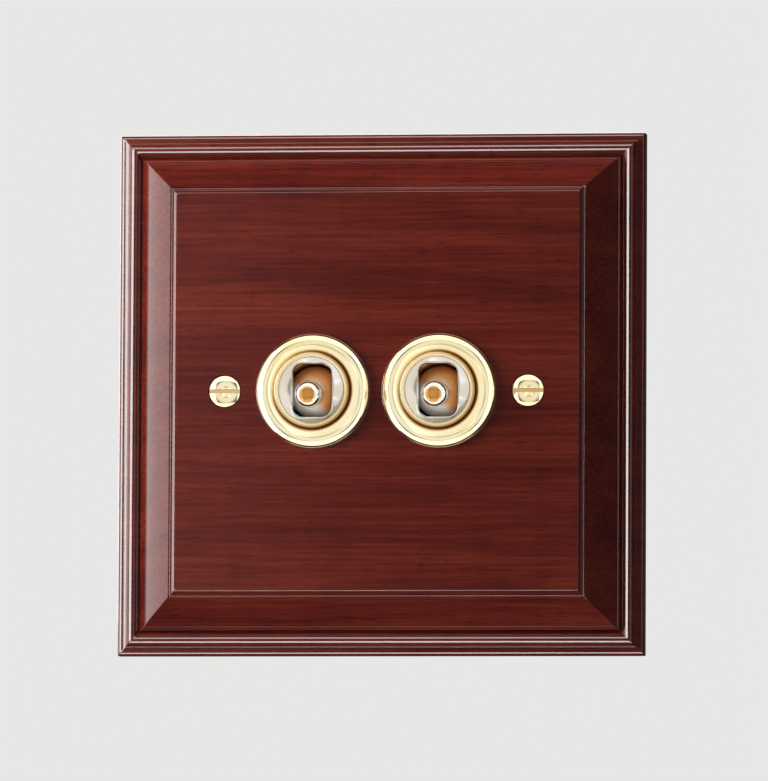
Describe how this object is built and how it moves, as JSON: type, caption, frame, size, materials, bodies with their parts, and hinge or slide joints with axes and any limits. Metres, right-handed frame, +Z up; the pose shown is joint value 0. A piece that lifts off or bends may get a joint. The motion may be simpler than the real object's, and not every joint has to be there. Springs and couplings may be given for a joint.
{
  "type": "toggle wall switch",
  "caption": "Toggle wall switch: ball-ended brass dollies in domed brass roses on a polished mahogany plate with a moulded edge. Each dolly tilts up and down and rocks a changeover contact.",
  "frame": {"origin": "centre of the plate's back, in the plane of the wall", "axes": "+X to the right along the plate, +Y into the wall, +Z up; the dollies stand out towards -Y"},
  "size_m": [0.105, 0.0406, 0.1036],
  "materials": {
    "mahogany": "dark red mahogany under a high-gloss clear lacquer",
    "polished_brass": "mirror polished, lacquered",
    "terminal_brass": "bright turned",
    "copper": "rolled copper strip",
    "silver": "plain silver contact",
    "zinc_steel": "bright zinc plate",
    "spring_steel": "drawn wire",
    "phenolic": "dark brown moulded phenolic"
  },
  "bodies": {
    "switch": {"wood_plate": "mahogany", "fixing_screw_left": "polished_brass", "fixing_screw_right": "polished_brass", "rose_left": "polished_brass", "bush_left": "polished_brass", "rose_right": "polished_brass", "bush_right": "polished_brass", "backing_strap": "zinc_steel", "wood_screw_1": "zinc_steel", "wood_screw_2": "zinc_steel", "wood_screw_3": "zinc_steel", "wood_screw_4": "zinc_steel", "pivot_pin_left": "spring_steel", "pivot_pin_right": "spring_steel", "earth_block": "terminal_brass", "earth_screw": "terminal_brass", "terminal_common_left": "terminal_brass", "terminal_upper_left": "terminal_brass", "terminal_lower_left": "terminal_brass", "terminal_screw_common_left": "terminal_brass", "terminal_screw_upper_left": "terminal_brass", "terminal_screw_lower_left": "terminal_brass", "case_rivet_1_left": "terminal_brass", "case_rivet_2_left": "terminal_brass", "terminal_common_right": "terminal_brass", "terminal_upper_right": "terminal_brass", "terminal_lower_right": "terminal_brass", "terminal_screw_common_right": "terminal_brass", "terminal_screw_upper_right": "terminal_brass", "terminal_screw_lower_right": "terminal_brass", "case_rivet_1_right": "terminal_brass", "case_rivet_2_right": "terminal_brass", "common_saddle_left": "copper", "contact_upper_left": "copper", "contact_lower_left": "copper", "common_saddle_right": "copper", "contact_upper_right": "copper", "contact_lower_right": "copper", "contact_button_upper_left": "silver", "contact_button_lower_left": "silver", "contact_button_upper_right": "silver", "contact_button_lower_right": "silver", "case_cover_left": "phenolic", "case_base_left": "phenolic", "case_cover_right": "phenolic", "case_base_right": "phenolic"},
    "dolly_left_body": {"dolly_left": "polished_brass", "spring_left": "spring_steel"},
    "plunger_left_body": {"plunger_left": "terminal_brass"},
    "rocker_left_body": {"rocker_left": "copper", "rocker_button_upper_left": "silver", "rocker_button_lower_left": "silver"},
    "dolly_right_body": {"dolly_right": "polished_brass", "spring_right": "spring_steel"},
    "plunger_right_body": {"plunger_right": "terminal_brass"},
    "rocker_right_body": {"rocker_right": "copper", "rocker_button_upper_right": "silver", "rocker_button_lower_right": "silver"}
  },
  "joints": [
    {"name": "dolly_left_tilt", "type": "hinge", "parent": "switch", "child": "dolly_left_body", "pos_m": [-0.0125, -0.0087, 0], "axis": [-1, 0, 0], "range_deg": [0, 12]},
    {"name": "plunger_left_slide", "type": "slide", "parent": "dolly_left_body", "child": "plunger_left_body", "axis": [0, -0.9945, -0.1045], "range_m": [0, 0.0008], "stiffness_N_per_m": 400, "springref_m": -0.002, "deforming": ["spring_left"]},
    {"name": "rocker_left_rock", "type": "hinge", "parent": "switch", "child": "rocker_left_body", "pos_m": [-0.0125, 0.00535, 0], "axis": [1, 0, 0], "range_deg": [0, 12]},
    {"name": "dolly_right_tilt", "type": "hinge", "parent": "switch", "child": "dolly_right_body", "pos_m": [0.0125, -0.0087, 0], "axis": [-1, 0, 0], "range_deg": [0, 12]},
    {"name": "plunger_right_slide", "type": "slide", "parent": "dolly_right_body", "child": "plunger_right_body", "axis": [0, -0.9945, -0.1045], "range_m": [0, 0.0008], "stiffness_N_per_m": 400, "springref_m": -0.002, "deforming": ["spring_right"]},
    {"name": "rocker_right_rock", "type": "hinge", "parent": "switch", "child": "rocker_right_body", "pos_m": [0.0125, 0.00535, 0], "axis": [1, 0, 0], "range_deg": [0, 12]}
  ],
  "couplings": [
    {"joint": "rocker_left_rock", "follows": "dolly_left_tilt", "ratio": 1},
    {"joint": "rocker_right_rock", "follows": "dolly_right_tilt", "ratio": 1}
  ]
}
